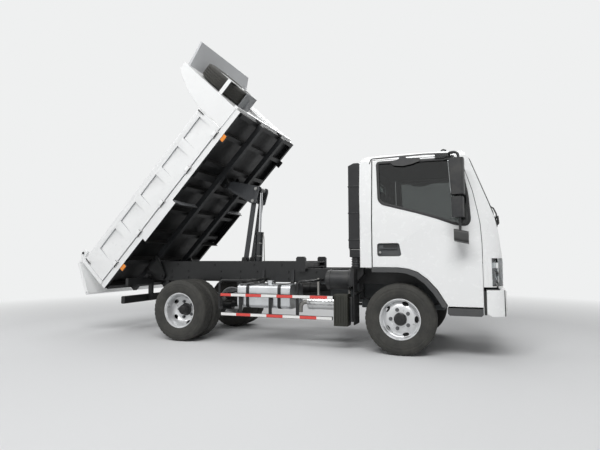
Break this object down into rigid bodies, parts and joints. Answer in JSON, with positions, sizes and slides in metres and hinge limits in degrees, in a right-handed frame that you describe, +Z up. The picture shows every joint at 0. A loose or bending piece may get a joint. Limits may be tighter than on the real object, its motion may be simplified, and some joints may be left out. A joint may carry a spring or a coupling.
{
  "type": "dump truck",
  "caption": "Light forward-control tipper lorry with a raised drop-side bed, cab-guard canopy, under-bed hoist, tilting cab, opening doors and hanging tailgate.",
  "frame": {"origin": "on the ground under the middle of the lorry, bed raised", "axes": "+X forward along the lorry, +Y to its left, +Z up"},
  "size_m": [5.5805, 2.1748, 4.0174],
  "materials": {
    "chassis_frame": "satin",
    "subframe": "satin",
    "axles": "painted",
    "leaf_springs": "painted",
    "engine_block": "cast",
    "fuel_tank": "brushed",
    "muffler": "satin",
    "battery_box": "moulded",
    "air_cleaner": "moulded",
    "side_guards": "reflective tape",
    "underrun_bar": "satin",
    "bumper": "gloss",
    "steps": "moulded",
    "cab_shell": "gloss",
    "cab_glass": "clear",
    "front_panel": "gloss",
    "headlamps": "clear",
    "dashboard": "grained",
    "seats": "woven",
    "snorkel": "moulded",
    "arch_flares": "moulded",
    "door": "gloss",
    "door_glass": "tinted",
    "mirror": "moulded",
    "knuckle": "painted",
    "tyre_front": "matte",
    "rim_front": "silver",
    "tyres_rear": "matte",
    "rims_rear": "silver",
    "bed_floor": "gloss",
    "headboard": "gloss",
    "spare_tyre": "matte",
    "spare_carrier": "silver",
    "side_gate": "gloss",
    "tailgate": "gloss",
    "lift_plates": "satin",
    "pull_rods": "satin",
    "hoist_barrel": "satin",
    "hoist_rod": "polished"
  },
  "bodies": {
    "chassis": {"chassis_frame": "chassis_frame", "subframe": "subframe", "axles": "axles", "leaf_springs": "leaf_springs", "engine_block": "engine_block", "fuel_tank": "fuel_tank", "muffler": "muffler", "battery_box": "battery_box", "air_cleaner": "air_cleaner", "side_guards": "side_guards", "underrun_bar": "underrun_bar", "bumper": "bumper", "steps": "steps"},
    "cab": {"cab_shell": "cab_shell", "cab_glass": "cab_glass", "front_panel": "front_panel", "headlamps": "headlamps", "dashboard": "dashboard", "seats": "seats", "snorkel": "snorkel", "arch_flares": "arch_flares"},
    "door_right": {"door_right": "door", "door_glass_right": "door_glass", "mirror_right": "mirror"},
    "door_left": {"door_left": "door", "door_glass_left": "door_glass", "mirror_left": "mirror"},
    "knuckle_right": {"knuckle_right": "knuckle"},
    "knuckle_left": {"knuckle_left": "knuckle"},
    "wheel_front_right": {"tyre_front_right": "tyre_front", "rim_front_right": "rim_front"},
    "wheel_front_left": {"tyre_front_left": "tyre_front", "rim_front_left": "rim_front"},
    "wheels_rear_right": {"tyres_rear_right": "tyres_rear", "rims_rear_right": "rims_rear"},
    "wheels_rear_left": {"tyres_rear_left": "tyres_rear", "rims_rear_left": "rims_rear"},
    "bed": {"bed_floor": "bed_floor", "headboard": "headboard", "spare_tyre": "spare_tyre", "spare_carrier": "spare_carrier"},
    "side_gate_right": {"side_gate_right": "side_gate"},
    "side_gate_left": {"side_gate_left": "side_gate"},
    "tailgate": {"tailgate": "tailgate"},
    "lift_plates": {"lift_plates": "lift_plates"},
    "pull_rods": {"pull_rods": "pull_rods"},
    "hoist_barrel": {"hoist_barrel": "hoist_barrel"},
    "hoist_rod": {"hoist_rod": "hoist_rod"}
  },
  "joints": [
    {"name": "steer_right", "type": "hinge", "parent": "chassis", "child": "knuckle_right", "pos_m": [1.69, -0.64, 0.388], "axis": [0, 0, 1], "range_deg": [-32, 32]},
    {"name": "wheel_front_right_turn", "type": "hinge", "parent": "knuckle_right", "child": "wheel_front_right", "pos_m": [1.69, -0.76, 0.388], "axis": [0, 1, 0], "continuous": true},
    {"name": "wheels_rear_right_turn", "type": "hinge", "parent": "chassis", "child": "wheels_rear_right", "pos_m": [-1.11, -0.8, 0.388], "axis": [0, 1, 0], "continuous": true},
    {"name": "door_right_open", "type": "hinge", "parent": "cab", "child": "door_right", "pos_m": [2.562, -0.866, 1.2], "axis": [0, 0, 1], "range_deg": [0, 65]},
    {"name": "side_gate_right_drop", "type": "hinge", "parent": "bed", "child": "side_gate_right", "pos_m": [-1.35913, -0.914, 1.79451], "axis": [0.682, 0, 0.7314], "range_deg": [0, 178]},
    {"name": "steer_left", "type": "hinge", "parent": "chassis", "child": "knuckle_left", "pos_m": [1.69, 0.64, 0.388], "axis": [0, 0, 1], "range_deg": [-32, 32]},
    {"name": "wheel_front_left_turn", "type": "hinge", "parent": "knuckle_left", "child": "wheel_front_left", "pos_m": [1.69, 0.76, 0.388], "axis": [0, 1, 0], "continuous": true},
    {"name": "wheels_rear_left_turn", "type": "hinge", "parent": "chassis", "child": "wheels_rear_left", "pos_m": [-1.11, 0.8, 0.388], "axis": [0, 1, 0], "continuous": true},
    {"name": "door_left_open", "type": "hinge", "parent": "cab", "child": "door_left", "pos_m": [2.562, 0.866, 1.2], "axis": [0, 0, -1], "range_deg": [0, 65]},
    {"name": "side_gate_left_drop", "type": "hinge", "parent": "bed", "child": "side_gate_left", "pos_m": [-1.35913, 0.914, 1.79451], "axis": [-0.682, 0, -0.7314], "range_deg": [0, 178]},
    {"name": "cab_tilt", "type": "hinge", "parent": "chassis", "child": "cab", "pos_m": [2.69, 0, 0.65], "axis": [0, 1, 0], "range_deg": [0, 45]},
    {"name": "bed_tilt", "type": "hinge", "parent": "chassis", "child": "bed", "pos_m": [-1.756, 0, 0.8], "axis": [0, -1, 0], "range_deg": [-47, 0]},
    {"name": "tailgate_swing", "type": "hinge", "parent": "bed", "child": "tailgate", "pos_m": [-2.69935, 0, 1.13002], "axis": [0, 1, 0], "range_deg": [-26, 60]},
    {"name": "lift_plates_turn", "type": "hinge", "parent": "bed", "child": "lift_plates", "pos_m": [-0.86, 0, 2.085], "axis": [0, -1, 0], "range_deg": [0, 50.6]},
    {"name": "pull_rods_turn", "type": "hinge", "parent": "chassis", "child": "pull_rods", "pos_m": [-0.56, 0, 1.04], "axis": [0, -1, 0], "range_deg": [-97.58, 0]},
    {"name": "hoist_barrel_turn", "type": "hinge", "parent": "chassis", "child": "hoist_barrel", "pos_m": [-0.428, 0, 0.78], "axis": [0, -1, 0], "range_deg": [-71.94, 0]},
    {"name": "hoist_rod_slide", "type": "slide", "parent": "hoist_barrel", "child": "hoist_rod", "axis": [0.0306, 0, 0.9995], "range_m": [-0.5161, 0]}
  ],
  "couplings": [
    {"joint": "steer_left", "follows": "steer_right", "ratio": 1},
    {"joint": "lift_plates_turn", "follows": "bed_tilt", "ratio": -1.0746},
    {"joint": "pull_rods_turn", "follows": "bed_tilt", "ratio": 2.0742},
    {"joint": "hoist_barrel_turn", "follows": "bed_tilt", "ratio": 1.5285},
    {"joint": "hoist_rod_slide", "follows": "bed_tilt", "m_per_rad": 0.62792}
  ]
}
